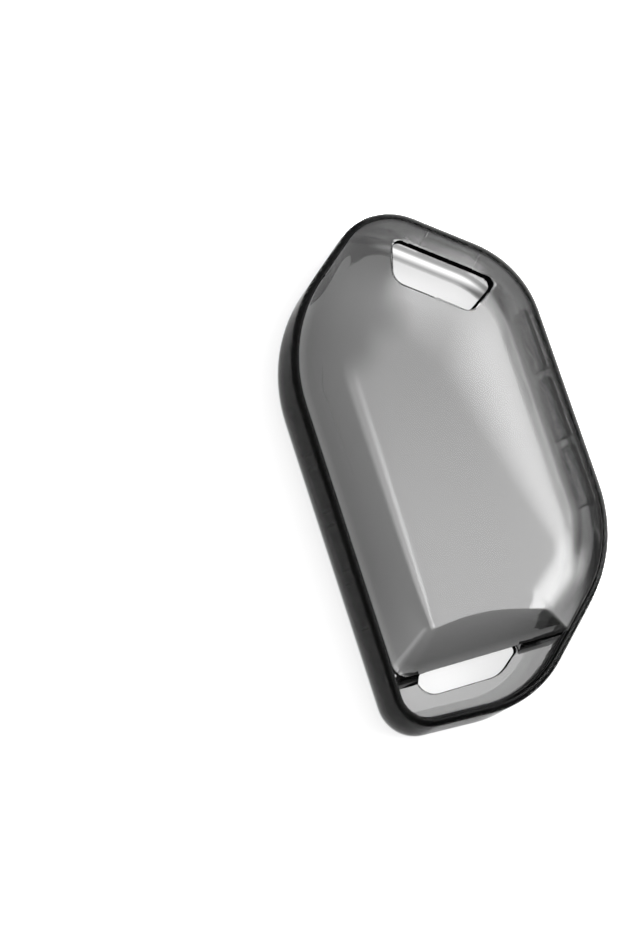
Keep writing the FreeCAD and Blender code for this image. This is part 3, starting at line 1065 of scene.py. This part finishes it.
class FOB_OT_rear_frame(bpy.types.Operator):
    """Model the rear edge with its lip, its spigot and its small grips"""

    bl_idname = "fob.rear_frame"
    bl_label = "Rear frame"

    def execute(self, context):
        sizes = settings().frames
        half_width = settings().outline.half_width
        spigot_end = sizes.spigot_start + sizes.spigot_width
        bm = bmesh.new()
        section = [(0, rear_low.z), (0, side_low.z), (sizes.spigot_start, side_low.z),
                   (sizes.spigot_start, rear_high.z), (spigot_end, rear_high.z),
                   (spigot_end, sizes.lip_thickness), (sizes.lip_width, sizes.lip_thickness),
                   (sizes.lip_width, rear_low.z)]
        ring(bm, section, {0: sizes.rear_rounding}, sizes.edge_rounding)
        piece = finish_mesh(bm, "rear_lip")
        grips = []
        root = sizes.lip_thickness / 2
        depth = root + sizes.grip_height
        out = half_width - sizes.lip_width + sizes.grip_margin + sizes.grip_width / 2
        size = (sizes.grip_width, sizes.grip_length, depth)
        for row in range(GRIP_ROWS):
            along = sizes.grip_first_y + sizes.grip_pitch * row
            for side in (-1, 1):
                grips.append(block("grip", size, (side * out, along, root + depth / 2)))
        combine(piece, "UNION", grips)
        dress(piece, "rear", ["rear_frame"], rear_polyurethane())
        return {"FINISHED"}


class FOB_OT_front_panel(bpy.types.Operator):
    """Model the clear panel: pillow, step and loop plate, with the window and the slot"""

    bl_idname = "fob.front_panel"
    bl_label = "Front panel"

    def execute(self, context):
        piece = pillow()
        piece.data.materials.append(smoked_polycarbonate())
        piece.data.materials.append(painted_shade_edge())
        # The window's and the slot's cut faces are painted black, as shade
        window = badge_window()
        window.data.materials.append(painted_shade_edge())
        combine(piece, "UNION", [step_wall(), loop_plate()])
        slot = key_ring_slot()
        slot.data.materials.append(painted_shade_edge())
        combine(piece, "DIFFERENCE", [window, slot])
        round_edges(piece, ROUNDED_ANGLE, settings().panel.cut_rounding)
        dress(piece, "case", ["front_panel"], smoked_polycarbonate())
        return {"FINISHED"}


class FOB_OT_keys(bpy.types.Operator):
    """Model the press keys, each with a rounded pad and a flange behind the wall"""

    bl_idname = "fob.keys"
    bl_label = "Press keys"

    def execute(self, context):
        for node, side in key_places():
            piece = key_solid(node, side, False)
            # The right keys get less dye, as painted light, and black edges painted as shade
            plastic = lit_right_key_polyurethane() if node in RIGHT_KEYS else key_polyurethane()
            if node in RIGHT_KEYS:
                piece.data.materials.append(plastic)
                piece.data.materials.append(painted_shade_edge())
            dress(piece, node, [node], plastic)
        return {"FINISHED"}


class FOB_OT_stage(bpy.types.Operator):
    """Set the pale floor, the soft studio light and the camera"""

    bl_idname = "fob.stage"
    bl_label = "Stage"

    def execute(self, context):
        scene = context.scene
        bm = bmesh.new()
        bmesh.ops.create_grid(bm, x_segments=1, y_segments=1, size=FLOOR_HALF_SIZE)
        bmesh.ops.translate(bm, verts=bm.verts[:], vec=UP * -FLOOR_GAP)
        floor = finish_mesh(bm, "floor")
        floor.data.materials.append(lit_table())
        for box in SOFTBOXES:
            scene.collection.objects.link(softbox(*box))
        scene.world = studio_sky()
        camera = photo_camera()
        scene.collection.objects.link(camera)
        scene.camera = camera
        scene.view_settings.view_transform = "Standard"
        scene.cycles.max_bounces = CLEAR_BOUNCES
        scene.cycles.transmission_bounces = CLEAR_BOUNCES
        scene.cycles.glossy_bounces = GLOSS_BOUNCES
        scene.cycles.transparent_max_bounces = GLOSS_BOUNCES
        return {"FINISHED"}


class FOB_PT_cover(bpy.types.Panel):
    """Buttons for the cover's pieces and its stage"""

    bl_idname = "FOB_PT_cover"
    bl_label = "Key fob cover"
    bl_space_type = "VIEW_3D"
    bl_region_type = "UI"
    bl_category = "Fob cover"

    def draw(self, context):
        for operator in OPERATORS:
            self.layout.operator(operator.bl_idname)


GROUPS = (FOB_PG_outline, FOB_PG_frames, FOB_PG_panel, FOB_PG_crown, FOB_PG_keys, FOB_PG_looks,
          FOB_PG_cover)
OPERATORS = (FOB_OT_side_frame, FOB_OT_rear_frame, FOB_OT_front_panel, FOB_OT_keys, FOB_OT_stage)


def register():
    """Make the settings, the operators and the panel known."""
    for item in GROUPS + OPERATORS + (FOB_PT_cover,):
        bpy.utils.register_class(item)
    bpy.types.Scene.fob_cover = bpy.props.PointerProperty(type=FOB_PG_cover)


def unregister():
    """Take them all away again."""
    del bpy.types.Scene.fob_cover
    for item in reversed(GROUPS + OPERATORS + (FOB_PT_cover,)):
        bpy.utils.unregister_class(item)


def main():
    """Build every piece and the stage."""
    register()
    bpy.ops.fob.side_frame()
    bpy.ops.fob.rear_frame()
    bpy.ops.fob.front_panel()
    bpy.ops.fob.keys()
    bpy.ops.fob.stage()


if __name__ == "__main__":
    main()
